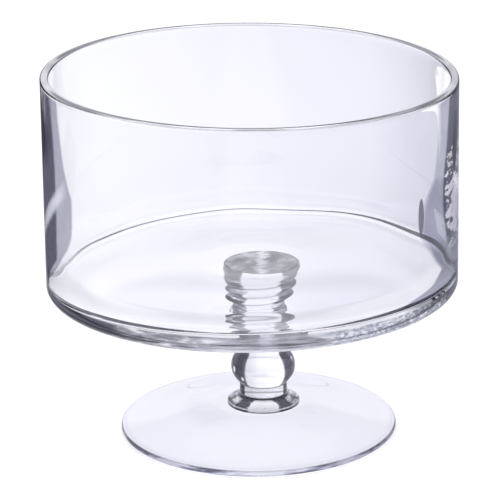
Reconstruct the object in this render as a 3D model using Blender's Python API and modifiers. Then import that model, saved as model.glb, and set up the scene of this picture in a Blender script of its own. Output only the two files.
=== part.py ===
"""Footed glass bowl: a straight-sided open bowl welded onto a ringed neck, a ball knop,
a flared collar and a round foot. Metres, +Z up, the foot stands on z = 0, the bowl is
centred on x = y = 0. The stem and the foot stand a little off its axis, as set by hand."""

import math

import bpy

# Driving sizes, in metres. Radii are taken from each piece's own axis.
BOWL_DIAMETER = 0.216
BOWL_HEIGHT = 0.1153
BOWL_WALL = 0.0046
CORNER_WALL = 0.0024
WALL_TAPER = 0.0200
FLOOR_THICKNESS = 0.0095
FLOOR_RISE = 0.0058
FLOOR_FLAT = 0.0030
FLOOR_FILLET = 0.0010
HEEL_RADIUS = 0.0044
FOOT_DIAMETER = 0.147
FOOT_EDGE = 0.0040
FOOT_RISE = 0.0096
FOOT_HOLLOW = 0.0055
FOOT_LAND = 0.0085
WAIST_DIAMETER = 0.0252
BALL_PROUD = 0.0045
BALL_RISE = 0.0132
UPPER_WAIST = 0.0035
LOWER_WAIST = 0.0059
COLLAR_FLARE = 0.0067
COLLAR_EDGE = 0.0008
COLLAR_CURVE = 0.0043
COLLAR_LIP = 0.0004
TOP_RING_PROUD = 0.0074
LOW_RING_PROUD = 0.0026
TOP_RING_HEIGHT = 0.0126
RING_HEIGHT = 0.0061
GROOVE_DEPTH = 0.0017
NECK_LENGTH = 0.0013
STEM_OFFSET = 0.0052
FOOT_OFFSET = 0.0024

# How soft the foot's slope is at its ends, and counts
FOOT_SOFTNESS = 0.5
RING_COUNT = 5
SIDES = 72
STEM_SIDES = 48

# Clearances: between welded pieces, and how far a seat reaches past what stands on it
WELD_GAP = 0.0003
SEAT_MARGIN = 0.0035

# Radii that follow from the driving sizes
bowl_r = BOWL_DIAMETER / 2
inner_r = bowl_r - BOWL_WALL
corner_r = bowl_r - CORNER_WALL
foot_r = FOOT_DIAMETER / 2
waist_r = WAIST_DIAMETER / 2
ball_r = waist_r + BALL_PROUD
collar_r = waist_r + COLLAR_FLARE
top_ring_r = waist_r + TOP_RING_PROUD
low_ring_r = waist_r + LOW_RING_PROUD

# Heights, stacked from the table up with a weld gap at each seat
foot_seat_z = FOOT_EDGE + FOOT_RISE
collar_z = foot_seat_z + WELD_GAP
collar_top_z = collar_z + COLLAR_EDGE + COLLAR_CURVE + COLLAR_LIP
knop_z = collar_top_z + WELD_GAP
ball_reach = math.acos(waist_r / ball_r)
ball_half = BALL_RISE * math.sin(ball_reach)
ball_mid_z = knop_z + LOWER_WAIST + ball_half
knop_top_z = ball_mid_z + ball_half + UPPER_WAIST
neck_z = knop_top_z + WELD_GAP
rings_z = neck_z + NECK_LENGTH
neck_top_z = rings_z + (RING_COUNT - 1) * RING_HEIGHT + TOP_RING_HEIGHT
bowl_seat_z = neck_top_z + WELD_GAP
bowl_base_z = bowl_seat_z - FLOOR_RISE
floor_z = bowl_base_z + FLOOR_THICKNESS
rim_z = bowl_base_z + BOWL_HEIGHT


def arc(x, z, radius, start, end, steps):
    """Points on a circle about (x, z), from one angle to another in degrees."""
    points = []
    for i in range(steps + 1):
        a = math.radians(start + (end - start) * i / steps)
        points.append((x + radius * math.cos(a), z + radius * math.sin(a)))
    return points


def ease(start, end, steps, softness=1.0):
    """Points on a soft S-curve between two points, level at both ends at full softness and
    a straight line at none."""
    points = []
    for i in range(steps + 1):
        t = i / steps
        s = t + softness * (t * t * (3 - 2 * t) - t)
        x = start[0] + (end[0] - start[0]) * t
        points.append((x, start[1] + (end[1] - start[1]) * s))
    return points


def flare(start, end, steps):
    """Points on a soft S-curve between two points, upright at both ends."""
    swapped = ease((start[1], start[0]), (end[1], end[0]), steps)
    return [(x, z) for z, x in swapped]


def bowl_profile():
    """Floor from the middle out, inner wall up, round rim, outer wall down, underside."""
    heel = HEEL_RADIUS
    fillet = FLOOR_FILLET
    lip = BOWL_WALL / 2
    seat_r = top_ring_r + abs(STEM_OFFSET) + SEAT_MARGIN
    slope_r = corner_r - fillet - FLOOR_FLAT
    wall_z = floor_z + fillet
    points = [(0, floor_z + FLOOR_RISE)]
    points += ease((seat_r, floor_z + FLOOR_RISE), (slope_r, floor_z), 6)
    points += arc(corner_r - fillet, wall_z, fillet, -90, 0, 3)[:-1]
    points += flare((corner_r, wall_z), (inner_r, wall_z + WALL_TAPER), 4)
    points += arc(bowl_r - lip, rim_z - lip, lip, 180, 0, 8)
    points += arc(bowl_r - heel, bowl_base_z + heel, heel, 0, -90, 5)
    points += ease((slope_r, bowl_base_z), (seat_r, bowl_seat_z), 6)
    points.append((0, bowl_seat_z))
    return points


def neck_profile():
    """Flat weld face, rings that shrink on the way down, then a plain neck. The top ring
    meets the floor at its full width, the others are round above and below."""
    points = [(0, neck_top_z)]
    top = neck_top_z
    for i in range(RING_COUNT):
        share = i / max(RING_COUNT - 1, 1)
        ring_r = top_ring_r + (low_ring_r - top_ring_r) * share
        height = RING_HEIGHT if i else TOP_RING_HEIGHT
        shoulder = 1 if i else 0
        for t, depth in ((0, shoulder), (0.14, 0.3 * shoulder), (0.36, 0), (0.64, 0), (0.86, 0.3)):
            points.append((ring_r - GROOVE_DEPTH * depth, top - height * t))
        top -= height
    points.append((waist_r, rings_z))
    points.append((waist_r, neck_z))
    points.append((0, neck_z))
    return points


def knop_profile():
    """Short waist, ball pressed a little flat, longer waist."""
    reach = math.degrees(ball_reach)
    points = [(0, knop_top_z), (waist_r, knop_top_z)]
    for x, z in arc(0, 0, 1, reach, -reach, 14):
        points.append((ball_r * x, ball_mid_z + BALL_RISE * z))
    points += [(waist_r, knop_z), (0, knop_z)]
    return points


def collar_profile():
    """Straight lip, bell-shaped flare and a short upright edge over a flat weld face."""
    edge_top = collar_z + COLLAR_EDGE
    points = [(0, collar_top_z), (waist_r, collar_top_z)]
    points += flare((waist_r, edge_top + COLLAR_CURVE), (collar_r, edge_top), 7)
    points += [(collar_r, collar_z), (0, collar_z)]
    return points


def foot_profile():
    """Level seat, a soft slope to the round edge, standing ring, hollow middle."""
    half = FOOT_EDGE / 2
    seat_r = collar_r + abs(STEM_OFFSET - FOOT_OFFSET) + SEAT_MARGIN
    edge_r = foot_r - half
    land_r = edge_r - FOOT_LAND
    points = [(0, foot_seat_z)]
    points += ease((seat_r, foot_seat_z), (edge_r, FOOT_EDGE), 8, FOOT_SOFTNESS)[:-1]
    points += arc(edge_r, half, half, 90, -90, 8)
    points += ease((land_r, 0), (seat_r, FOOT_HOLLOW), 6)
    points.append((0, FOOT_HOLLOW))
    return points


def glass(name, colour, roughness):
    """Clear glass with the pale tint seen in the photo."""
    material = bpy.data.materials.new(name)
    material.use_nodes = True
    shader = material.node_tree.nodes["Principled BSDF"]
    shader.inputs["Base Color"].default_value = (*colour, 1)
    shader.inputs["Roughness"].default_value = roughness
    shader.inputs["Metallic"].default_value = 0
    shader.inputs["IOR"].default_value = 1.5
    shader.inputs["Transmission Weight"].default_value = 1
    material.diffuse_color = (*colour, 0.35)
    return material


def turned(name, profile, sides, offset, material, collection):
    """One closed glass body: a profile at +X spun about its own upright axis, which stands
    at x = offset."""
    mesh = bpy.data.meshes.new(name)
    points = [(x, 0, z) for x, z in profile]
    edges = [(i, i + 1) for i in range(len(points) - 1)]
    mesh.from_pydata(points, edges, [])
    mesh.materials.append(material)
    piece = bpy.data.objects.new(name, mesh)
    piece.location.x = offset
    collection.objects.link(piece)
    spin = piece.modifiers.new("Spin", "SCREW")
    spin.axis = "Z"
    spin.angle = 2 * math.pi
    spin.steps = sides
    spin.render_steps = sides
    spin.use_merge_vertices = True
    spin.merge_threshold = 0.00001
    spin.use_smooth_shade = True
    return piece


def main():
    for old in list(bpy.data.objects):
        bpy.data.objects.remove(old, do_unlink=True)
    parts = bpy.data.collections.new("footed_glass_bowl")
    bpy.context.scene.collection.children.link(parts)
    pale = (0.90, 0.91, 0.95)
    grey = (0.84, 0.85, 0.89)
    stem = STEM_OFFSET
    turned("bowl", bowl_profile(), SIDES, 0, glass("bowl_glass", pale, 0.02), parts)
    turned("ringed_neck", neck_profile(), STEM_SIDES, stem, glass("neck_glass", grey, 0.04), parts)
    turned("ball_knop", knop_profile(), STEM_SIDES, stem, glass("knop_glass", grey, 0.02), parts)
    turned("foot_collar", collar_profile(), STEM_SIDES, stem, glass("collar_glass", grey, 0.03), parts)
    turned("foot", foot_profile(), SIDES, FOOT_OFFSET, glass("foot_glass", pale, 0.03), parts)


main()
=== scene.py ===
import math

import bpy
from mathutils import Matrix, Vector, noise


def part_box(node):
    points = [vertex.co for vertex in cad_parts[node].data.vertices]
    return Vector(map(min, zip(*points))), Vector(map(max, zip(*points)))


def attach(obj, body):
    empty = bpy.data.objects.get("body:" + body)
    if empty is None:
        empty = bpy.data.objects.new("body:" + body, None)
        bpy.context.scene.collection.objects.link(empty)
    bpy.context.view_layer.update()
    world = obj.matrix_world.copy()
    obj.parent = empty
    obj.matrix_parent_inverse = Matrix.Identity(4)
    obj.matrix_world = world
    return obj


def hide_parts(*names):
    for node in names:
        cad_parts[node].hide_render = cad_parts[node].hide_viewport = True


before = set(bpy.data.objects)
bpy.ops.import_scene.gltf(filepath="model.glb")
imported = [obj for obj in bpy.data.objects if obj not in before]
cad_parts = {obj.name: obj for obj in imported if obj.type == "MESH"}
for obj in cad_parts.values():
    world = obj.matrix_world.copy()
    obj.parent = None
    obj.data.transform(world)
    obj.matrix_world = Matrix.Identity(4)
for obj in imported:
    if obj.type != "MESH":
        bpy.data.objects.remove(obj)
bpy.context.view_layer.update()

# Sizes in metres, the same as the solids
BOWL_R = 0.108
WALL = 0.0046
CORNER_WALL = 0.0024
FLOOR = 0.0095
FLOOR_RISE = 0.0058
FLOOR_FLAT = 0.0030
HEEL = 0.0044
FOOT_R = 0.0735
FOOT_EDGE = 0.0040
FOOT_HOLLOW = 0.0055
FOOT_LAND = 0.0085
FOOT_SOFTNESS = 0.5
WAIST_R = 0.0126
BALL_R = 0.0171
BALL_RISE = 0.0132
LOWER_WAIST = 0.0059
COLLAR_R = 0.0193
COLLAR_EDGE = 0.0008
COLLAR_CURVE = 0.0043
TOP_RING_R = 0.0200
SEAT_MARGIN = 0.0035
STEM_X = 0.0052
FOOT_X = 0.0024

# Sizes of the bowl that differ from the solids: the wall's taper is shorter, because a long one bends
# the view of the neck, the floor's corner is rounder, and the floor sinks toward the left
WALL_TAPER = 0.0100
FILLET = 0.0024
LEFT_DIP = 0.0044
DIP_FADE = 0.02

# Marks of hand work on the bowl: slopes of the rim and the base from left to right, how much wider the
# base is, the radii between which these set in, and waves in the wall
RIM_SLOPE = -0.0135
BASE_SLOPE = 0.004
BASE_SPREAD = 0.004
STILL_R = 0.03
FULL_R = 0.09
WALL_WAVE = 0.0005
WAVE_TURNS = 2.2
WAVE_PITCH = 22

# Marks of hand work on the neck: the lean of its rings to the right and to the back, its shift to the
# left low down, fine marks of the tool, and dents of (depth, turns, pitch, start)
RING_LEAN = 0.085
BACK_LEAN = 0.02
NECK_SHIFT = -0.0024
TOOL_MARK = 0.00012
TOOL_PITCH = 2900
DENTS = ((0.020, 0.9, 120, 0), (0.006, 3.1, 300, 7))

# Half width of the neck where it meets the floor, and heights of its grooves and bright crests
NECK_TOP_R = 0.0198
GROOVES = (0.0788, 0.0730, 0.0679, 0.0570, 0.0530)
CRESTS = (0.0768, 0.0712, 0.0610, 0.0556)

# The visual welds close to this gap, so that light crosses them as in one body of glass
GAP = 0.00005

# Sides of the turned meshes, the inner radius of a level face's first ring, and what counts as touching
SIDES = 192
STEM_SIDES = 96
HUB = 0.004
TOUCH = 1e-7

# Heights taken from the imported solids
base_z, rim_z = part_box("bowl")[0][2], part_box("bowl")[1][2]
knop_z, knop_top_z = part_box("ball_knop")[0][2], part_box("ball_knop")[1][2]
collar_z, collar_top_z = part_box("foot_collar")[0][2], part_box("foot_collar")[1][2]
foot_top_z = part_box("foot")[1][2]
floor_z = base_z + FLOOR
seat_z = base_z + FLOOR_RISE

# Radii and heights that follow from the sizes. What lies within inside_r, at the floor or above it, is
# the bowl's inner face.
inner_r = BOWL_R - WALL
corner_r = BOWL_R - CORNER_WALL
inside_r = BOWL_R - CORNER_WALL / 2
slope_r = corner_r - FILLET - FLOOR_FLAT
wall_z = floor_z + FILLET
lip_z = rim_z - WALL / 2


# Outlines

def soft(t):
    """0 to 1 with level ends."""
    t = min(max(t, 0.0), 1.0)
    return t * t * (3 - 2 * t)


def arc(x, z, radius, start, end, steps):
    """Points on a circle about (x, z), from one angle to another in degrees."""
    points = []
    for i in range(steps + 1):
        a = math.radians(start + (end - start) * i / steps)
        points.append((x + radius * math.cos(a), z + radius * math.sin(a)))
    return points


def ease(start, end, steps, softness=1.0):
    """Points on a soft S-curve, level at both ends at full softness and straight at none."""
    points = []
    for i in range(steps + 1):
        t = i / steps
        s = t + softness * (soft(t) - t)
        points.append((start[0] + (end[0] - start[0]) * t, start[1] + (end[1] - start[1]) * s))
    return points


def flare(start, end, steps):
    """Points on a soft S-curve that is upright at both ends."""
    return [(x, z) for z, x in ease((start[1], start[0]), (end[1], end[0]), steps)]


def line(start, end, steps):
    """Points on a straight line."""
    return ease(start, end, steps, 0.0)


def disc(radius, z, steps):
    """Points on a level face, from its axis out."""
    return [(0, z)] + line((HUB, z), (radius, z), steps)


def uneven(a, turns, height):
    """Smooth noise round an axis."""
    return noise.noise(Vector((turns * math.cos(a), turns * math.sin(a), height)))


def outline(runs):
    """One outline from runs of (points, slot), without double points, and a slot for each stretch."""
    profile = []
    slots = []
    for points, slot in runs:
        for point in points:
            if profile and math.dist(profile[-1], point) < TOUCH:
                continue
            if profile:
                slots.append(slot)
            profile.append(point)
    return profile, slots


def spin(name, runs, sides, materials, axis_x=0.0, warp=None, sharp=35):
    """A closed turned body about the upright line x = axis_x. The slot of a run picks its material.
    warp moves each point a little, as hand work does."""
    profile, slots = outline(runs)
    verts = []
    rings = []
    for r, z in profile:
        ring = []
        for k in range(sides if r > TOUCH else 1):
            a = 2 * math.pi * k / sides
            radius, height, shift = warp(r, a, z) if warp else (r, z, 0.0)
            verts.append(Vector((axis_x + shift + radius * math.cos(a), radius * math.sin(a), height)))
            ring.append(len(verts) - 1)
        rings.append(ring)
    faces = []
    face_slots = []
    for upper, lower, slot in zip(rings, rings[1:], slots):
        for k in range(sides):
            n = (k + 1) % sides
            if len(upper) == 1:
                face = (upper[0], lower[k], lower[n])
            elif len(lower) == 1:
                face = (upper[k], lower[0], upper[n])
            else:
                face = (upper[k], lower[k], lower[n], upper[n])
            faces.append(face)
            face_slots.append(slot)
    mesh = bpy.data.meshes.new(name)
    mesh.from_pydata(verts, [], faces)
    for material in materials:
        mesh.materials.append(material)
    mesh.polygons.foreach_set("material_index", face_slots)
    mesh.polygons.foreach_set("use_smooth", [True] * len(faces))
    mesh.update()
    mesh.set_sharp_from_angle(angle=math.radians(sharp))
    piece = bpy.data.objects.new(name, mesh)
    bpy.context.scene.collection.objects.link(piece)
    return piece


# Materials

WHITE = (1.0, 1.0, 1.0)
GLASS_TINT = (0.985, 0.985, 0.995)
SHADOW_TINT = (0.985, 0.985, 0.99)
GLOSS_TINT = (0.93, 0.93, 0.96)
GLOSS_ROUGHNESS = 0.05
HEEL_ROUGHNESS = 0.12

# The stem bends light less than the rest, so that its rings and dark limbs stay clear, as in the photo
GLASS_IOR = 1.5
NECK_IOR = 1.06
KNOP_IOR = 1.2

# How much of the weld under the floor is veiled by bubbles
VEIL = 0.78
VEIL_SPREAD = 0.2

# Painted highlights on the ball, where lamps would gleam: place and size
GLEAMS = (
    ((-0.0058, -0.0121, 0.0306), 0.0011),
    ((-0.0102, -0.0074, 0.0347), 0.0013),
    ((0.0205, -0.0046, 0.0393), 0.0012),
)


class Nodes:
    """Short ways to add nodes to a tree. A value is a number, a tuple or the socket of another node."""

    def __init__(self, tree):
        self.tree = tree

    def put(self, kind, **settings):
        node = self.tree.nodes.new(kind)
        for key, value in settings.items():
            setattr(node, key, value)
        return node

    def feed(self, socket, value):
        if isinstance(value, bpy.types.NodeSocket):
            self.tree.links.new(value, socket)
        else:
            socket.default_value = value

    def work(self, kind, operation, first, second):
        node = self.put(kind, operation=operation)
        self.feed(node.inputs[0], first)
        if second is not None:
            self.feed(node.inputs[1], second)
        return node.outputs

    def calc(self, operation, first, second=None):
        return self.work("ShaderNodeMath", operation, first, second)[0]

    def vec(self, operation, first, second=None):
        outputs = self.work("ShaderNodeVectorMath", operation, first, second)
        return outputs["Value" if operation in ("LENGTH", "DOT_PRODUCT") else "Vector"]

    def times(self, *values):
        product = values[0]
        for value in values[1:]:
            product = self.calc("MULTIPLY", product, value)
        return product

    def plus(self, *values):
        total = values[0]
        for value in values[1:]:
            total = self.calc("ADD", total, value)
        return total

    def minus(self, first, second):
        return self.calc("SUBTRACT", first, second)

    def absolute(self, value):
        return self.calc("ABSOLUTE", value)

    def above(self, value, limit):
        return self.calc("GREATER_THAN", value, limit)

    def below(self, value, limit):
        return self.calc("LESS_THAN", value, limit)

    def parts(self, vector):
        node = self.put("ShaderNodeSeparateXYZ")
        self.feed(node.inputs[0], vector)
        return node.outputs["X"], node.outputs["Y"], node.outputs["Z"]

    def from_axis(self, place, x):
        """Distance from an upright axis."""
        away = self.vec("SUBTRACT", place, (x, 0, 0))
        return self.vec("LENGTH", self.vec("MULTIPLY", away, (1, 1, 0)))

    def span(self, value, low, high, to_low=0.0, to_high=1.0, kind="LINEAR"):
        """A value carried from one range to another, and held at its ends."""
        node = self.put("ShaderNodeMapRange", interpolation_type=kind)
        self.feed(node.inputs["Value"], value)
        self.feed(node.inputs["From Min"], low)
        self.feed(node.inputs["From Max"], high)
        self.feed(node.inputs["To Min"], to_low)
        self.feed(node.inputs["To Max"], to_high)
        return node.outputs["Result"]

    def smooth(self, value, low, high):
        """0 to 1 across a range of a value, with level ends."""
        return self.span(value, low, high, kind="SMOOTHSTEP")

    def between(self, value, low, high, edge):
        """1 inside a range of a value, with soft ends."""
        rise = self.smooth(value, low - edge, low + edge)
        fall = self.smooth(value, high + edge, high - edge)
        return self.times(rise, fall)

    def ramp(self, value, stops, kind="EASE"):
        """Colours or numbers that follow a value from 0 to 1, from stops of (value, colour or number)."""
        node = self.put("ShaderNodeValToRGB")
        node.color_ramp.interpolation = kind
        elements = node.color_ramp.elements
        while len(elements) < len(stops):
            elements.new(0.5)
        for element, (position, colour) in zip(elements, stops):
            element.position = position
            element.color = (*colour, 1) if isinstance(colour, tuple) else (colour, colour, colour, 1)
        self.feed(node.inputs["Fac"], value)
        return node.outputs["Color"]

    def blend(self, share, first, second, kind="MIX"):
        node = self.put("ShaderNodeMix", data_type="RGBA", blend_type=kind)
        self.feed(node.inputs["Factor"], share)
        for name, colour in (("A", first), ("B", second)):
            self.feed(node.inputs[name], (*colour, 1) if isinstance(colour, tuple) else colour)
        return node.outputs["Result"]

    def grain(self, place, scale, detail=1.0, roughness=0.5):
        """Noise, scaled along each axis."""
        mapping = self.put("ShaderNodeMapping")
        self.feed(mapping.inputs["Scale"], scale)
        self.feed(mapping.inputs["Vector"], place)
        node = self.put("ShaderNodeTexNoise")
        self.feed(node.inputs["Scale"], 1.0)
        self.feed(node.inputs["Detail"], detail)
        self.feed(node.inputs["Roughness"], roughness)
        self.feed(node.inputs["Vector"], mapping.outputs["Vector"])
        return node.outputs["Fac"]

    def mixed(self, share, first, second):
        node = self.put("ShaderNodeMixShader")
        self.feed(node.inputs["Fac"], share)
        self.feed(node.inputs[1], first)
        self.feed(node.inputs[2], second)
        return node.outputs["Shader"]

    def see_through(self, colour):
        node = self.put("ShaderNodeBsdfTransparent")
        self.feed(node.inputs["Color"], (*colour, 1))
        return node.outputs["BSDF"]

    def output(self, shader):
        self.feed(self.tree.nodes["Material Output"].inputs["Surface"], shader)


class Glass(Nodes):
    """Clear glass. Where a face stands upright, light that enters toward the sides is dimmed by painted
    shade in the glass's colour, as in a studio whose bright wall is narrow, so that every upright edge
    is drawn in grey from any side. low and high say how upright a face has to be."""

    def __init__(self, name, low=0.45, high=0.80, ior=GLASS_IOR):
        self.material = bpy.data.materials.new(name)
        self.material.use_nodes = True
        super().__init__(self.material.node_tree)
        self.shader = self.tree.nodes["Principled BSDF"]
        self.shader.inputs["Transmission Weight"].default_value = 1.0
        self.shader.inputs["IOR"].default_value = ior
        self.shader.inputs["Roughness"].default_value = 0.0
        geometry = self.put("ShaderNodeNewGeometry").outputs
        self.leaving = geometry["Backfacing"]
        self.entering = self.minus(1.0, self.leaving)
        self.place = self.put("ShaderNodeTexCoord").outputs["Object"]
        self.x, self.y, self.z = self.parts(self.place)
        flat_place = self.vec("MULTIPLY", self.place, (1, 1, 0))
        flat_normal = self.vec("MULTIPLY", geometry["Normal"], (1, 1, 0))
        self.radius = self.vec("LENGTH", flat_place)
        self.outer = self.above(self.vec("DOT_PRODUCT", flat_normal, flat_place), 0.0)
        self.slope = self.absolute(self.vec("DOT_PRODUCT", geometry["Normal"], (0, 0, 1)))
        upright = self.smooth(self.vec("LENGTH", flat_normal), low, high)
        self.share = self.times(upright, self.entering)
        weight = self.put("ShaderNodeLayerWeight")
        weight.inputs["Blend"].default_value = 0.5
        self.feed(weight.inputs["Normal"], self.vec("NORMALIZE", flat_normal))
        self.facing = weight.outputs["Facing"]
        self.colour = None
        self.clear = None
        self.gloss = None
        self.weld = None

    def by_height(self, stops):
        """A number that follows height, from stops of (height, number)."""
        low, high = stops[0][0], stops[-1][0]
        places = [((z - low) / (high - low), value) for z, value in stops]
        return self.ramp(self.span(self.z, low, high), places, "LINEAR")

    def flecks(self, scale, detail=2.0):
        """Noise with fine detail."""
        return self.grain(self.place, scale, detail, 0.6)

    def wobble(self, scale, amount, detail=1.0):
        """Noise about 0."""
        return self.times(self.minus(self.grain(self.place, scale, detail), 0.5), amount)

    def tone(self, colour):
        """Multiply the colour all over."""
        if self.colour is None:
            self.colour = colour
        else:
            self.colour = self.blend(1.0, self.colour, colour, "MULTIPLY")

    def shade(self, share, colour):
        """Multiply the colour where share is 1."""
        self.colour = self.blend(share, self.colour, self.blend(1.0, self.colour, colour, "MULTIPLY"))

    def cover(self, share, colour):
        """Replace the colour where share is 1."""
        self.colour = self.blend(share, self.colour, colour)

    def open_weld(self, x, radius, z):
        """Where another piece is welded on, light crosses as if there were no surface."""
        near = self.absolute(self.minus(self.z, z))
        inside = self.below(self.from_axis(self.place, x), radius)
        self.weld = self.times(inside, self.below(near, 0.0002))

    def limit(self, inner=1.0):
        """Keep the painted shade in the colour to where light enters an upright face, with less of it on the
        inner faces.
        """
        share = self.share
        if inner < 1.0:
            share = self.times(share, self.span(self.outer, 0, 1, inner, 1.0))
        colour = self.blend(share, WHITE, self.colour)
        self.colour = self.blend(1.0, colour, GLASS_TINT, "MULTIPLY")

    def close(self):
        """Join the shaders. Light mirrored off one piece passes the outside of the others."""
        self.feed(self.shader.inputs["Base Color"], self.colour)
        last = self.shader.outputs["BSDF"]
        if self.clear is not None:
            last = self.mixed(self.clear, last, self.see_through(WHITE))
        if self.gloss is not None:
            shine = self.put("ShaderNodeBsdfGlossy")
            shine.inputs["Color"].default_value = (*GLOSS_TINT, 1)
            shine.inputs["Roughness"].default_value = GLOSS_ROUGHNESS
            last = self.mixed(self.gloss, last, shine.outputs["BSDF"])
        path = self.put("ShaderNodeLightPath").outputs
        outside = self.below(self.calc("MODULO", path["Transmission Depth"], 2.0), 0.5)
        outside = self.times(outside, self.minus(1.0, path["Is Transmission Ray"]))
        mirrored = self.times(path["Is Glossy Ray"], outside)
        last = self.mixed(mirrored, last, self.see_through(WHITE))
        last = self.mixed(path["Is Shadow Ray"], last, self.see_through(SHADOW_TINT))
        if self.weld is not None:
            last = self.mixed(self.weld, last, self.see_through(WHITE))
        self.output(last)
        return self.material


def bare_material(name):
    """A material with nothing but its output."""
    material = bpy.data.materials.new(name)
    material.use_nodes = True
    tree = material.node_tree
    tree.nodes.remove(tree.nodes["Principled BSDF"])
    return material


def weld_look():
    """The hot weld between two pieces: no surface there for light to bend at."""
    material = bare_material("weld_look")
    nodes = Nodes(material.node_tree)
    nodes.output(nodes.see_through(WHITE))
    return material


def floor_weld_look():
    """The weld under the floor, veiled by small bubbles as seen from above, less so across a ragged
    line in the middle."""
    material = bare_material("floor_weld_look")
    nodes = Nodes(material.node_tree)
    place = nodes.put("ShaderNodeTexCoord").outputs["Object"]
    frost_and_painted_flecks = nodes.put("ShaderNodeBsdfDiffuse")
    tone = nodes.ramp(nodes.span(nodes.from_axis(place, STEM_X), 0.010, NECK_TOP_R), [
        (0.0, (0.13, 0.13, 0.145)), (0.5, (0.13, 0.13, 0.145)), (0.78, (0.21, 0.21, 0.23)),
        (1.0, (0.03, 0.03, 0.035)),
    ])
    nodes.feed(frost_and_painted_flecks.inputs["Color"], tone)
    spots = nodes.grain(place, (120, 120, 10), 2.0)
    share = nodes.span(spots, 0.35, 0.65, VEIL + VEIL_SPREAD, VEIL - VEIL_SPREAD)
    ragged = nodes.span(nodes.grain(place, (90, 300, 10), 2.0), 0.3, 0.7, -0.0022, 0.0022)
    aside = nodes.vec("DOT_PRODUCT", nodes.vec("SUBTRACT", place, (STEM_X, 0, 0)), (1, 0, 0))
    aside = nodes.absolute(nodes.plus(aside, ragged))
    share = nodes.times(share, nodes.span(aside, 0.0012, 0.0034, 0.5, 1.0))
    leaving = nodes.put("ShaderNodeNewGeometry").outputs["Backfacing"]
    share = nodes.times(share, nodes.minus(1.0, leaving))
    nodes.output(nodes.mixed(share, nodes.see_through(WHITE), frost_and_painted_flecks.outputs["BSDF"]))
    return material


def bowl_bands(glass, right, left):
    """A pale band and a slate band of painted shade up each side of the wall, each reaching round it as
    far as its number by height says. Returns how far a point lies in each band, where 0.5 is the band's
    edge."""
    waves = glass.wobble((9, 9, 14), 0.04)
    pale_left = glass.by_height([
        (0.080, 0.95), (0.0938, 0.834), (0.1025, 0.716), (0.1078, 0.660), (0.1123, 0.624),
        (0.1183, 0.572), (0.1246, 0.542), (0.132, 0.531), (0.146, 0.529), (0.151, 0.550),
        (0.160, 0.579), (0.170, 0.600), (0.185, 0.630), (0.196, 0.640),
    ])
    pale_right = glass.by_height([
        (0.080, 0.80), (0.0900, 0.80), (0.0918, 0.29), (0.0945, 0.365), (0.0975, 0.515),
        (0.1035, 0.600), (0.1095, 0.545), (0.119, 0.480), (0.126, 0.430), (0.139, 0.440),
        (0.146, 0.470), (0.154, 0.534), (0.163, 0.557), (0.173, 0.573), (0.196, 0.560),
    ])
    slate = glass.by_height([
        (0.080, 0.90), (0.098, 0.82), (0.109, 0.690), (0.131, 0.680), (0.157, 0.676),
        (0.172, 0.687), (0.196, 0.720),
    ])
    wider = glass.times(right, glass.between(glass.z, 0.125, 0.155, 0.015), 0.045)
    slate = glass.minus(slate, wider)
    ticks = glass.times(glass.wobble((420, 420, 30), 0.08), left, glass.span(glass.z, 0.178, 0.188))
    pale_reach = glass.blend(right, pale_left, pale_right)
    pale = glass.minus(glass.plus(glass.facing, waves, 0.5), pale_reach)
    dark = glass.minus(glass.plus(glass.facing, waves, ticks, 0.5), slate)
    left_pale = glass.ramp(pale, [
        (0.0, WHITE), (0.490, WHITE), (0.510, (0.25, 0.25, 0.315)), (0.545, (0.27, 0.27, 0.34)),
        (0.62, (0.31, 0.31, 0.385)), (1.0, (0.38, 0.38, 0.45)),
    ])
    right_pale = glass.ramp(pale, [
        (0.0, WHITE), (0.508, WHITE), (0.528, (0.50, 0.51, 0.60)), (0.550, (0.24, 0.245, 0.32)),
        (0.62, (0.25, 0.255, 0.325)), (1.0, (0.25, 0.255, 0.325)),
    ])
    left_slate = glass.ramp(dark, [
        (0.0, WHITE), (0.488, WHITE), (0.512, (0.048, 0.050, 0.070)), (0.62, (0.060, 0.062, 0.084)),
        (1.0, (0.12, 0.12, 0.15)),
    ])
    right_slate = glass.ramp(dark, [
        (0.0, WHITE), (0.488, WHITE), (0.512, (0.052, 0.055, 0.080)), (0.58, (0.065, 0.068, 0.092)),
        (0.72, (0.16, 0.16, 0.20)), (1.0, (0.28, 0.28, 0.32)),
    ])
    glass.tone(glass.blend(right, left_pale, right_pale))
    glass.tone(glass.blend(right, left_slate, right_slate))
    return pale, dark


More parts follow.
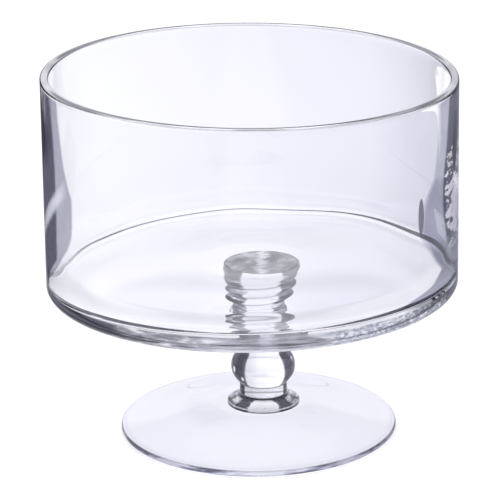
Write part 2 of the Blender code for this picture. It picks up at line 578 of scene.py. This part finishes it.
def bowl_light_and_shade_marks(glass, right, left, pale, dark):
    """Single marks of painted light and shade in the wall's bands."""
    # painted reflection: pale ticks high on the left
    reflected_ticks = glass.span(glass.flecks((420, 420, 30)), 0.42, 0.56)
    high = glass.times(glass.span(glass.z, 0.172, 0.182), glass.span(glass.facing, 0.78, 0.84))
    glass.cover(glass.times(reflected_ticks, left, high), (0.34, 0.33, 0.34))
    # painted shade: the right band is darker low down
    low = glass.times(right, glass.between(glass.z, 0.098, 0.116, 0.005))
    glass.cover(glass.times(low, glass.span(pale, 0.515, 0.545)), (0.12, 0.125, 0.16))
    # painted reflection: bright scraps of the room on the right
    outward = glass.times(glass.span(glass.facing, 0.70, 0.80), glass.between(glass.z, 0.118, 0.146, 0.004))
    scraps = glass.plus(glass.flecks((90, 90, 210), 3.0), glass.times(outward, 0.14))
    scraps = glass.times(glass.span(scraps, 0.535, 0.565), right, glass.span(dark, 0.50, 0.54))
    scraps = glass.times(scraps, glass.between(glass.z, 0.114, 0.166, 0.004))
    glass.cover(scraps, (0.98, 0.96, 0.94))
    # a slanting glint on the left
    slant = glass.vec("DOT_PRODUCT", glass.place, (0, 0.82, 1.0))
    glint = glass.smooth(glass.absolute(glass.minus(slant, 0.105)), 0.0065, 0.001)
    glint = glass.times(glint, left, glass.between(glass.y, -0.052, -0.012, 0.006))
    glass.cover(glass.times(glint, 0.8), (0.85, 0.85, 0.95))
    # painted shade: a dark patch like a leaf on the right
    leaf = glass.vec("SUBTRACT", glass.place, (0.0846, -0.0671, 0.1370))
    leaf = glass.vec("LENGTH", glass.vec("MULTIPLY", leaf, (380, 380, 96)))
    glass.cover(glass.smooth(leaf, 1.0, 0.85), (0.075, 0.075, 0.095))


def floor_level(glass, share):
    """Height as measured from a floor that sinks to the left by a share of the dip."""
    leftward = glass.calc("DIVIDE", glass.calc("MINIMUM", glass.x, 0.0), inner_r)
    return glass.plus(glass.z, glass.times(leftward, leftward, share * LEFT_DIP))


def bowl_heel(glass):
    """The thick heel, in painted reflection and shade: slate toward the sides, streaked in the middle,
    flecked by the light caught in it. Returns where it is."""
    heel = glass.smooth(floor_level(glass, 0.5), floor_z + 0.0003, floor_z - 0.0007)
    heel = glass.times(heel, glass.share, glass.outer)
    streaks = glass.ramp(glass.flecks((22, 22, 900)), [
        (0.32, (0.26, 0.265, 0.32)), (0.46, (0.50, 0.51, 0.59)), (0.58, (0.80, 0.81, 0.88)), (0.70, WHITE),
    ])
    frost_and_painted_flecks = glass.ramp(glass.flecks((520, 520, 640)), [
        (0.40, (0.14, 0.155, 0.22)), (0.48, (0.27, 0.30, 0.40)), (0.54, (0.52, 0.55, 0.64)), (0.60, WHITE),
    ])
    coarse_painted_flecks = glass.ramp(glass.flecks((130, 130, 420)), [
        (0.38, (0.08, 0.076, 0.074)), (0.48, (0.19, 0.205, 0.26)), (0.56, (0.38, 0.39, 0.44)),
        (0.62, (1.0, 1.0, 0.98)),
    ])
    along = glass.plus(glass.x, glass.wobble((30, 30, 200), 0.02))
    tone = glass.blend(glass.between(along, 0.035, 0.097, 0.006), streaks, frost_and_painted_flecks)
    tone = glass.blend(glass.between(along, -0.076, -0.022, 0.005), tone, coarse_painted_flecks)
    far = glass.plus(glass.span(along, -0.060, -0.073), glass.span(along, 0.088, 0.098))
    tone = glass.blend(far, tone, (0.020, 0.0213, 0.032))
    glass.shade(heel, tone)
    glass.feed(glass.shader.inputs["Roughness"], glass.times(heel, HEEL_ROUGHNESS))
    return heel


def bowl_corner(glass):
    """The dark line of the floor's corner, painted shade drawn on the glass side of it. Its air side is part
    clear.
    """
    level = floor_level(glass, 1.0)
    top = glass.span(glass.absolute(glass.x), 0.02, 0.075, floor_z + 0.0016, floor_z + 0.0034)
    ring = glass.times(
        glass.above(glass.radius, corner_r - 0.0012),
        glass.below(glass.radius, BOWL_R - 0.0008),
        glass.above(level, floor_z - 0.0005),
        glass.below(level, top),
    )
    glass.cover(glass.times(ring, glass.leaving), (0.02, 0.02, 0.025))
    glass.clear = glass.times(ring, glass.entering, 0.15)


def bowl_gloss(glass, height, heel):
    """Gloss on the rim, which has painted grey shade across the middle, and in streaks on the heel."""
    top = glass.span(height, rim_z - 0.0024, rim_z - 0.0018)
    crown = glass.times(glass.span(glass.slope, 0.30, 0.70), top, glass.entering)
    centre = glass.smooth(glass.absolute(glass.x), 0.090, 0.040)
    glass.cover(glass.times(crown, centre), (0.30, 0.30, 0.33))
    sheen = glass.span(glass.grain(glass.place, (40, 40, 40)), 0.35, 0.65, 0.50, 0.85)
    sheen = glass.times(sheen, glass.span(centre, 0.0, 1.0, 1.0, 0.25))
    caught = glass.span(glass.flecks((18, 18, 700)), 0.42, 0.60, 0.02, 0.40)
    middle = glass.span(glass.absolute(glass.minus(glass.x, 0.013)), 0.075, 0.045)
    glass.gloss = glass.plus(glass.times(crown, sheen), glass.times(heel, caught, middle))


def bowl_look():
    glass = Glass("bowl_glass_look", 0.30, 0.45)
    right = glass.smooth(glass.x, -0.03, 0.03)
    left = glass.minus(1.0, right)
    pale, dark = bowl_bands(glass, right, left)
    bowl_light_and_shade_marks(glass, right, left, pale, dark)
    # height along the sloping rim, which is left clear of the bands
    height = glass.vec("DOT_PRODUCT", glass.place, (-RIM_SLOPE, 0.0, 1.0))
    rim = glass.smooth(height, rim_z - 0.0032, rim_z - 0.0024)
    glass.share = glass.times(glass.share, glass.minus(1.0, rim))
    glass.limit(inner=0.1)
    heel = bowl_heel(glass)
    bowl_corner(glass)
    bowl_gloss(glass, height, heel)
    glass.open_weld(STEM_X, TOP_RING_R, seat_z)
    return glass.close()


def neck_look():
    glass = Glass("neck_glass_look", 0.05, 0.25, NECK_IOR)
    # painted shade: the sides of the neck are dark
    facing = glass.plus(glass.facing, glass.wobble((60, 60, 140), 0.10))
    glass.tone(glass.ramp(facing, [
        (0.0, WHITE), (0.15, WHITE), (0.20, (0.12, 0.12, 0.135)), (0.6, (0.10, 0.10, 0.115)),
        (1.0, (0.07, 0.07, 0.08)),
    ]))
    # painted light and shade: light and dark streaks on the sides of the rings
    sides = glass.span(facing, 0.17, 0.22)
    glass.shade(sides, glass.ramp(glass.flecks((50, 50, 380)), [
        (0.36, (0.12, 0.12, 0.14)), (0.45, (0.50, 0.50, 0.55)), (0.54, WHITE), (0.60, 2.8), (0.66, 8.0),
    ]))
    glass.shade(sides, glass.ramp(glass.flecks((70, 70, 1100)), [
        (0.40, (0.3, 0.3, 0.33)), (0.50, WHITE), (0.60, 2.0), (0.68, 5.0),
    ]))
    # painted shade on the sides, darker at the top under the floor and a little low down
    glass.shade(sides, glass.by_height([
        (knop_top_z, 1.0), (0.0584, 0.7), (0.0780, 1.0), (0.0800, 0.25), (seat_z, 0.25),
    ]))
    # a band of painted shade, near black, across the sides
    dusk = glass.plus(glass.z, glass.wobble((90, 90, 200), 0.003))
    dusk = glass.times(sides, glass.between(dusk, 0.0668, 0.0702, 0.0005))
    glass.cover(dusk, (0.0006, 0.0006, 0.0008))
    # thin lights along the crests of the rings
    crests = 0.0
    for z in CRESTS:
        near = glass.absolute(glass.minus(glass.z, z))
        crests = glass.plus(glass.span(near, 0.0004, 0.0001), crests)
    patches = glass.span(glass.grain(glass.place, (160, 160, 300), 2.0), 0.46, 0.56)
    aside = glass.span(glass.facing, 0.15, 0.25)
    glass.gloss = glass.times(crests, patches, aside, glass.entering, 0.5)
    # painted shade along the grooves between the rings, which lean up to the right
    leaning = glass.vec("DOT_PRODUCT", glass.place, (-RING_LEAN, 0, 1))
    leaning = glass.plus(leaning, RING_LEAN * STEM_X)
    for z in GROOVES:
        near = glass.absolute(glass.minus(leaning, z))
        glass.tone(glass.ramp(glass.span(near, 0.0001, 0.0007), [(0.0, (0.28, 0.28, 0.30)), (1.0, WHITE)]))
    glass.limit()
    return glass.close()


def knop_look():
    glass = Glass("knop_glass_look", 0.15, 0.40, KNOP_IOR)
    crease = knop_z + LOWER_WAIST
    # painted shade: the left half is a little darker, and dark limbs stand on both sides
    half = glass.span(glass.x, STEM_X - 0.008, STEM_X + 0.004)
    glass.tone(glass.ramp(half, [(0.0, (0.58, 0.58, 0.61)), (0.6, (0.88, 0.88, 0.90)), (1.0, WHITE)]))
    reach = glass.by_height([
        (crease - 0.002, 0.42), (crease - 0.0003, 0.42), (crease, 0.23), (crease + 0.002, 0.23),
    ])
    reach = glass.plus(reach, glass.span(glass.x, STEM_X - 0.003, STEM_X + 0.003, 0.0, 0.07))
    limb = glass.plus(glass.facing, glass.wobble((45, 45, 60), 0.03), 0.20)
    glass.tone(glass.ramp(glass.minus(limb, reach), [
        (0.0, WHITE), (0.175, WHITE), (0.225, (0.03, 0.0295, 0.037)), (0.30, (0.013, 0.0125, 0.017)),
        (0.45, (0.011, 0.0105, 0.015)), (0.7, (0.03, 0.029, 0.038)), (1.0, (0.06, 0.06, 0.07)),
    ]))
    # painted shade in the creases under the ball and where the waist meets the collar
    glass.tone(glass.by_height([
        (knop_z, 0.12), (knop_z + 0.0002, 0.12), (knop_z + 0.0006, 1.0), (crease - 0.0007, 1.0),
        (crease - 0.0003, 0.15), (crease + 0.0002, 0.15), (crease + 0.0005, 1.0), (crease + 0.002, 1.0),
    ]))
    glass.limit()
    # painted highlights: gloss in small spots at the gleams
    gleams = 0.0
    for place, size in GLEAMS:
        away = glass.vec("MULTIPLY", glass.vec("SUBTRACT", glass.place, place), (1, 1, 0.6))
        gleams = glass.plus(glass.span(glass.vec("LENGTH", away), size, size * 0.6), gleams)
    glass.gloss = glass.times(gleams, glass.entering)
    return glass.close()


def collar_look():
    glass = Glass("collar_glass_look", 0.05, 0.2)
    # painted shade: dark limbs on both sides
    facing = glass.plus(glass.facing, glass.wobble((110, 110, 220), 0.16, 2.0))
    reach = glass.by_height([
        (collar_z, 0.17), (collar_z + 0.0036, 0.17), (collar_top_z - 0.0008, 0.14),
        (collar_top_z, 0.0),
    ])
    glass.tone(glass.ramp(glass.minus(glass.plus(facing, 0.3), reach), [
        (0.0, (0.95, 0.94, 0.94)), (0.28, (0.84, 0.83, 0.84)), (0.31, (0.006, 0.006, 0.010)),
        (1.0, (0.004, 0.004, 0.008)),
    ]))
    # painted reflection: patches of the room on the shoulders and behind
    patches = glass.ramp(glass.flecks((70, 70, 900)), [
        (0.40, (0.05, 0.055, 0.075)), (0.50, (0.17, 0.185, 0.24)), (0.58, (0.34, 0.36, 0.43)), (0.62, WHITE),
    ])
    shoulder = glass.between(facing, 0.46, 0.80, 0.03)
    shoulder = glass.times(shoulder, glass.span(glass.z, collar_z + 0.0042, collar_z + 0.0034))
    behind = glass.times(glass.span(glass.y, -0.003, 0.003), glass.span(facing, 0.2, 0.3))
    glass.cover(shoulder, patches)
    glass.cover(behind, patches)
    # painted shade in a dark line at the top and a dark edge at the bottom, with a painted highlight as a
    # gleam over the edge
    glass.tone(glass.by_height([
        (collar_z, 1.0), (collar_top_z - 0.0012, 1.0), (collar_top_z - 0.0007, 0.08), (collar_top_z, 0.08),
    ]))
    glass.tone(glass.by_height([
        (collar_z, 0.05), (collar_z + 0.0005, 0.06), (collar_z + 0.0008, 1.0), (collar_z + 0.0020, 1.0),
    ]))
    gleam = glass.between(glass.z, collar_z + 0.0010, collar_z + 0.0014, 0.0002)
    glass.cover(glass.times(gleam, 0.8), WHITE)
    glass.limit()
    return glass.close()


def foot_look():
    glass = Glass("foot_glass_look")
    # painted shade on the round edge, darker toward its sides
    facing = glass.plus(glass.facing, glass.wobble((18, 18, 300), 0.5, 2.0))
    glass.tone(glass.ramp(facing, [
        (0.0, (0.85, 0.85, 0.92)), (0.15, (0.70, 0.71, 0.78)), (0.35, (0.36, 0.36, 0.43)),
        (0.7, (0.12, 0.12, 0.15)), (1.0, (0.06, 0.06, 0.075)),
    ]))
    # painted reflection: dark and light patches of the room caught in the round edge
    glass.tone(glass.ramp(glass.flecks((52, 52, 240)), [
        (0.38, (0.03, 0.032, 0.052)), (0.46, (0.17, 0.18, 0.26)), (0.52, (0.60, 0.61, 0.71)), (0.58, WHITE),
    ]))
    # painted shade, darker at the bottom of the edge and toward its top
    glass.tone(glass.by_height([
        (0.0, 0.35), (0.0008, 0.40), (0.0014, 1.0), (0.0026, 1.0), (0.0033, 0.5), (FOOT_EDGE, 0.5),
    ]))
    glass.limit()
    # painted shade: the top darkens a little toward the edge, and has faint grey ripples near the collar
    away = glass.from_axis(glass.place, FOOT_X)
    brim = glass.ramp(glass.span(away, 0.0680, FOOT_R - FOOT_EDGE / 2), [
        (0.0, WHITE), (0.5, (0.97, 0.97, 0.98)), (1.0, (0.80, 0.80, 0.84)),
    ])
    ripple = glass.ramp(glass.grain(glass.place, (30, 110, 30)), [(0.42, (0.90, 0.90, 0.92)), (0.54, WHITE)])
    ripple = glass.blend(glass.between(away, 0.027, 0.040, 0.005), WHITE, ripple)
    top = glass.times(glass.entering, glass.span(glass.slope, 0.5, 0.8))
    glass.shade(top, glass.blend(1.0, brim, ripple, "MULTIPLY"))
    return glass.close()


# Shapes

def bowl_runs():
    """Floor from the middle out, inner wall up, round rim, outer wall down, underside."""
    weld_r = TOP_RING_R + STEM_X
    seat_r = weld_r + SEAT_MARGIN
    middle_z = floor_z + FLOOR_RISE
    points = disc(seat_r, middle_z, 4)
    points += ease((seat_r, middle_z), (slope_r, floor_z), 30)
    points += line((slope_r, floor_z), (corner_r - FILLET, floor_z), 4)
    points += arc(corner_r - FILLET, wall_z, FILLET, -90, 0, 8)
    points += flare((corner_r, wall_z), (inner_r, wall_z + WALL_TAPER), 14)
    points += line((inner_r, wall_z + WALL_TAPER), (inner_r, lip_z), 32)
    points += arc(BOWL_R - WALL / 2, lip_z, WALL / 2, 180, 0, 16)
    points += line((BOWL_R, lip_z), (BOWL_R, base_z + HEEL), 40)
    points += arc(BOWL_R - HEEL, base_z + HEEL, HEEL, 0, -90, 12)
    points += line((BOWL_R - HEEL, base_z), (slope_r, base_z), 4)
    points += ease((slope_r, base_z), (seat_r, seat_z), 30)
    points += line((seat_r, seat_z), (weld_r, seat_z), 2)
    points += reversed(disc(weld_r, seat_z, 4))
    return [(points, 0)]


def longer_taper(a, z):
    """How far a point of the inner wall moves up, so that the taper is twice as long at the sides."""
    full_z = wall_z + WALL_TAPER
    share = soft((abs(math.cos(a)) - 0.70) / 0.25)
    if z <= wall_z or z >= lip_z:
        return 0.0
    if z < full_z:
        return (z - wall_z) * share
    return WALL_TAPER * share * (lip_z - z) / (lip_z - full_z)


def bowl_warp(r, a, z):
    """The rim and the base slope a little, the base is wider, and the inner face is uneven."""
    t = (z - base_z) / (rim_z - base_z)
    x = r * math.cos(a)
    outward = soft((r - STILL_R) / (FULL_R - STILL_R))
    rise = RIM_SLOPE * x * soft((t - 0.1) / 0.9) + BASE_SLOPE * x * (1 - soft(t)) * outward
    radius = r * (1 + BASE_SPREAD * (1 - soft(t * 1.1)) * outward)
    if r < inside_r and z > floor_z - 0.0005:
        rise -= LEFT_DIP * (min(x, 0) / inner_r) ** 2 * (1 - soft((z - floor_z) / DIP_FADE))
    if slope_r < r < inside_r:
        rise += longer_taper(a, z)
        if z > floor_z + 0.0015 and t < 0.985:
            radius += WALL_WAVE * uneven(a, WAVE_TURNS, z * WAVE_PITCH) * soft((1 - t) * 12)
    return radius, z + rise, 0.0


def neck_runs():
    """Weld face under the floor, tooled rings, weld face on the ball."""
    top_z = seat_z - GAP
    bottom_z = knop_top_z + GAP
    # heights and half widths of the rings and of the grooves between them
    marks = [
        (top_z, NECK_TOP_R), (0.0835, 0.0203), (0.0808, 0.0187), (0.0788, 0.0170), (0.0760, 0.0183),
        (0.0730, 0.0158), (0.0703, 0.0176), (0.0679, 0.0148), (0.0650, 0.0130), (0.0625, 0.0136),
        (0.0600, 0.0151), (0.0570, 0.0128), (0.0546, 0.0158), (0.0520, 0.0148), (0.0500, 0.0140),
        (bottom_z, WAIST_R),
    ]
    steps = 12
    rings = [(NECK_TOP_R, top_z)]
    for (z0, r0), (z1, r1) in zip(marks, marks[1:]):
        for k in range(1, steps + 1):
            t = k / steps
            z = z0 + (z1 - z0) * t
            free = soft((top_z - z) / 0.004) * soft((z - bottom_z) / 0.003)
            ripple = TOOL_MARK * math.sin(z * TOOL_PITCH) * free
            rings.append((r0 + (r1 - r0) * soft(t) + ripple, z))
    low = list(reversed(disc(WAIST_R, bottom_z, 3)))
    return [(disc(NECK_TOP_R, top_z, 4), 1), (rings, 0), (low, 2)]


def neck_warp(r, a, z):
    """The rings are uneven and lean, and the neck shifts to the left low down. The weld faces stay."""
    t = min(max((z - knop_top_z) / (seat_z - knop_top_z), 0.0), 1.0)
    free = soft(t / 0.2) * soft((1 - t) / 0.12)
    dents = sum(depth * uneven(a, turns, z * pitch + start) for depth, turns, pitch, start in DENTS)
    radius = r * (1 + dents * free * soft(r / 0.012))
    tilt = RING_LEAN * math.cos(a) * soft((t - 0.15) / 0.4) + BACK_LEAN * math.sin(a)
    shift = NECK_SHIFT * soft(t / 0.25) * (1 - soft((t - 0.3) / 0.7))
    return radius, z + tilt * r * free, shift


def knop_runs():
    """Ball pressed a little flat over a waist."""
    reach = math.acos(WAIST_R / BALL_R)
    turn = math.degrees(reach)
    middle_z = knop_z + LOWER_WAIST + BALL_RISE * math.sin(reach)
    side = [(BALL_R * x, middle_z + BALL_RISE * z) for x, z in arc(0, 0, 1, turn, -turn, 36)]
    side += line(side[-1], (WAIST_R, knop_z), 6)
    low = list(reversed(disc(WAIST_R, knop_z, 3)))
    return [(disc(WAIST_R, knop_top_z, 3), 1), (side, 0), (low, 1)]


def collar_runs():
    """Bell-shaped flare with a short upright edge."""
    top_z = knop_z - GAP
    edge_z = collar_z + COLLAR_EDGE
    bottom_z = foot_top_z + GAP
    side = [(WAIST_R, top_z)] + flare((WAIST_R, edge_z + COLLAR_CURVE), (COLLAR_R, edge_z), 20)
    side += line((COLLAR_R, edge_z), (COLLAR_R, bottom_z), 2)
    side += reversed(disc(COLLAR_R, bottom_z, 4))
    return [(disc(WAIST_R, top_z, 3), 1), (side, 0)]


def foot_runs():
    """Level seat, soft slope, round edge, standing ring, hollow. Light leaves the underside unbent."""
    half = FOOT_EDGE / 2
    seat_r = COLLAR_R + STEM_X - FOOT_X + SEAT_MARGIN
    edge_r = FOOT_R - half
    land_r = edge_r - FOOT_LAND
    top = disc(seat_r, foot_top_z, 6)
    top += ease((seat_r, foot_top_z), (edge_r, FOOT_EDGE), 40, FOOT_SOFTNESS)
    top += arc(edge_r, half, half, 90, -90, 14)
    under = line((edge_r, 0), (land_r, 0), 4)
    under += ease((land_r, 0), (seat_r, FOOT_HOLLOW), 30)
    under += reversed(disc(seat_r, FOOT_HOLLOW, 4))
    return [(top, 0), (under, 1)]


weld = weld_look()
neck_slots = [neck_look(), floor_weld_look(), weld]
bowl = spin("bowl_glass", bowl_runs(), SIDES, [bowl_look()], 0.0, bowl_warp)
neck = spin("ringed_neck_glass", neck_runs(), STEM_SIDES, neck_slots, STEM_X, neck_warp, 60)
knop = spin("ball_knop_glass", knop_runs(), STEM_SIDES, [knop_look(), weld], STEM_X)
collar = spin("foot_collar_glass", collar_runs(), STEM_SIDES, [collar_look(), weld], STEM_X)
foot = spin("foot_glass", foot_runs(), SIDES, [foot_look(), weld], FOOT_X)

for piece, node, slot in (
    (bowl, "bowl", "bowl_glass"),
    (neck, "ringed_neck", "neck_glass"),
    (knop, "ball_knop", "knop_glass"),
    (collar, "foot_collar", "collar_glass"),
    (foot, "foot", "foot_glass"),
):
    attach(piece, "root")
    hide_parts(node)


# Stage

FLOOR_HALF = 30.0
FLOOR_DROP = -0.0002
FLOOR_PALE = (0.95, 0.95, 0.955)


def backdrop(nodes, x, y, away):
    """The floor as seen through the glass, with painted light and shade: it falls off from left to right,
    as the photo's backdrop does, and has a painted bright panel at the right."""
    widen = nodes.span(y, 0.0, 1.0, 1.19, 0.74)
    across = nodes.span(nodes.times(x, widen), -0.15, 0.15)
    seen = nodes.ramp(across, [
        (0.0, (0.90, 0.905, 0.94)), (0.5, (0.79, 0.79, 0.865)), (0.8, (0.70, 0.70, 0.775)),
        (1.0, (0.57, 0.57, 0.645)),
    ], "LINEAR")
    # the panel's slanting edge draws the light line beside the right wall's band
    edge = nodes.ramp(y, [(0.42, 0.162), (0.62, 0.216), (0.65, 0.190), (0.75, 0.196)], "LINEAR")
    panel_light = nodes.span(nodes.minus(x, edge), -0.002, 0.002)
    panel_light = nodes.times(panel_light, nodes.span(y, 0.43, 0.45), nodes.span(y, 0.77, 0.75))
    seen = nodes.blend(panel_light, seen, (0.97, 0.97, 0.985))
    # painted light and shade in rings with distance, more so at the right
    rings = nodes.ramp(away, [
        (0.12, 1.03), (0.16, 1.14), (0.21, 1.17), (0.26, 1.06), (0.335, 1.04), (0.37, 0.97), (0.60, 1.0),
        (1.0, 1.0),
    ], "LINEAR")
    lift = nodes.ramp(away, [
        (0.12, 0.05), (0.22, 0.05), (0.26, 0.0), (0.35, 0.0), (0.65, 0.11),
    ], "LINEAR")
    rings = nodes.plus(rings, nodes.times(lift, nodes.span(across, 0.5, 0.9)))
    seen = nodes.blend(1.0, seen, rings, "MULTIPLY")
    # painted light: lighter under the bowl, where the glass's shadow falls
    under = nodes.ramp(nodes.span(x, -0.06, 0.08), [
        (0.0, (0.90, 0.90, 0.955)), (1.0, (0.88, 0.88, 0.935)),
    ], "LINEAR")
    return nodes.blend(nodes.smooth(away, 0.13, 0.09), seen, under)


def floor_look():
    """Pale to the eye, a backdrop of painted light and shade through the glass, and painted darker shade
    aside where the glass mirrors it.
    """
    material = bpy.data.materials.new("floor_white")
    material.use_nodes = True
    nodes = Nodes(material.node_tree)
    shader = nodes.tree.nodes["Principled BSDF"]
    shader.inputs["Roughness"].default_value = 0.9
    shader.inputs["Specular IOR Level"].default_value = 0.0
    place = nodes.put("ShaderNodeNewGeometry").outputs["Position"]
    x, y = nodes.parts(place)[:2]
    away = nodes.vec("LENGTH", place)
    path = nodes.put("ShaderNodeLightPath").outputs
    mirrored = nodes.above(path["Glossy Depth"], 0.5)
    mirrored = nodes.times(mirrored, nodes.below(path["Transmission Depth"], 0.5))
    aside = nodes.span(nodes.absolute(x), 0.12, 0.20)
    aside = nodes.times(aside, nodes.span(away, 0.14, 0.32))
    mirrored_shade = nodes.ramp(nodes.span(x, -0.1, 0.1), [(0.0, (0.10, 0.10, 0.125)), (1.0, (0.28, 0.29, 0.34))])
    mirrored_shade = nodes.blend(aside, (0.84, 0.84, 0.90), mirrored_shade)
    colour = nodes.blend(mirrored, backdrop(nodes, x, y, away), mirrored_shade)
    colour = nodes.blend(path["Is Camera Ray"], colour, FLOOR_PALE)
    nodes.feed(shader.inputs["Base Color"], colour)
    return material


def stage_floor():
    """A square floor just under the foot."""
    mesh = bpy.data.meshes.new("floor")
    corners = [(x * FLOOR_HALF, y * FLOOR_HALF, FLOOR_DROP) for x, y in ((-1, -1), (1, -1), (1, 1), (-1, 1))]
    mesh.from_pydata(corners, [], [(0, 1, 2, 3)])
    mesh.materials.append(floor_look())
    obj = bpy.data.objects.new("floor", mesh)
    bpy.context.scene.collection.objects.link(obj)


def studio_world():
    """White all round. What reaches the eye by a mirror bounce is the darker room."""
    world = bpy.data.worlds.new("studio")
    bpy.context.scene.world = world
    world.use_nodes = True
    nodes = Nodes(world.node_tree)
    background = nodes.tree.nodes["Background"]
    mirrored = nodes.above(nodes.put("ShaderNodeLightPath").outputs["Glossy Depth"], 0.5)
    z = nodes.parts(nodes.put("ShaderNodeTexCoord").outputs["Generated"])[2]
    room = nodes.ramp(z, [
        (0.0, (0.84, 0.84, 0.90)), (0.15, (0.90, 0.90, 0.96)), (0.35, (0.94, 0.94, 0.99)),
        (0.41, (0.45, 0.45, 0.50)), (0.60, (0.45, 0.45, 0.50)), (0.72, (0.85, 0.85, 0.90)),
        (1.0, (0.98, 0.98, 1.0)),
    ], "LINEAR")
    nodes.feed(background.inputs["Color"], nodes.blend(mirrored, WHITE, room))
    background.inputs["Strength"].default_value = 1.0


def top_softbox():
    """One large soft lamp overhead, aimed at the stem."""
    light = bpy.data.lights.new("top_softbox", "AREA")
    light.shape = "RECTANGLE"
    light.size = 1.2
    light.size_y = 1.2
    light.energy = 8
    lamp = bpy.data.objects.new("top_softbox", light)
    lamp.location = (0, 0.2, 1.6)
    aim = Vector((0, 0, 0.1)) - lamp.location
    lamp.rotation_euler = aim.to_track_quat("-Z", "Y").to_euler()
    bpy.context.scene.collection.objects.link(lamp)


# Camera: pixels of the photo's frame, radians, and distances fitted as shares of the bowl's radius
FRAME_PX = 500
FOCAL_PX = 2854.24
SHIFT_PX = 1.8
SENSOR_MM = 36
PITCH = 0.32075
ROLL = 0.0140
CAMERA_BACK = 13.1876 * BOWL_R
CAMERA_UP = 5.2948 * BOWL_R
AIM_DISTANCE = 13.9 * BOWL_R


def photo_camera():
    """A camera fitted to the outlines of the rim, the floor, the base and the foot."""
    data = bpy.data.cameras.new("camera")
    data.sensor_width = SENSOR_MM
    data.lens = FOCAL_PX / FRAME_PX * SENSOR_MM
    camera = bpy.data.objects.new("camera", data)
    bpy.context.scene.collection.objects.link(camera)
    forward = Vector((0, math.cos(PITCH), -math.sin(PITCH)))
    right = Vector((1, 0, 0))
    up = right.cross(forward)
    roll = Matrix.Rotation(-ROLL, 3, -forward)
    axes = Matrix((roll @ right, roll @ up, -forward)).transposed()
    side = -SHIFT_PX * AIM_DISTANCE / FOCAL_PX
    camera.matrix_world = Matrix.Translation((side, -CAMERA_BACK, CAMERA_UP)) @ axes.to_4x4()
    bpy.context.scene.camera = camera


stage_floor()
studio_world()
top_softbox()
photo_camera()

scene = bpy.context.scene
scene.view_settings.view_transform = "Standard"
# enough bounces for light to cross all the walls of the glass
scene.cycles.max_bounces = 24
scene.cycles.transmission_bounces = 24
scene.cycles.glossy_bounces = 8
scene.cycles.transparent_max_bounces = 32
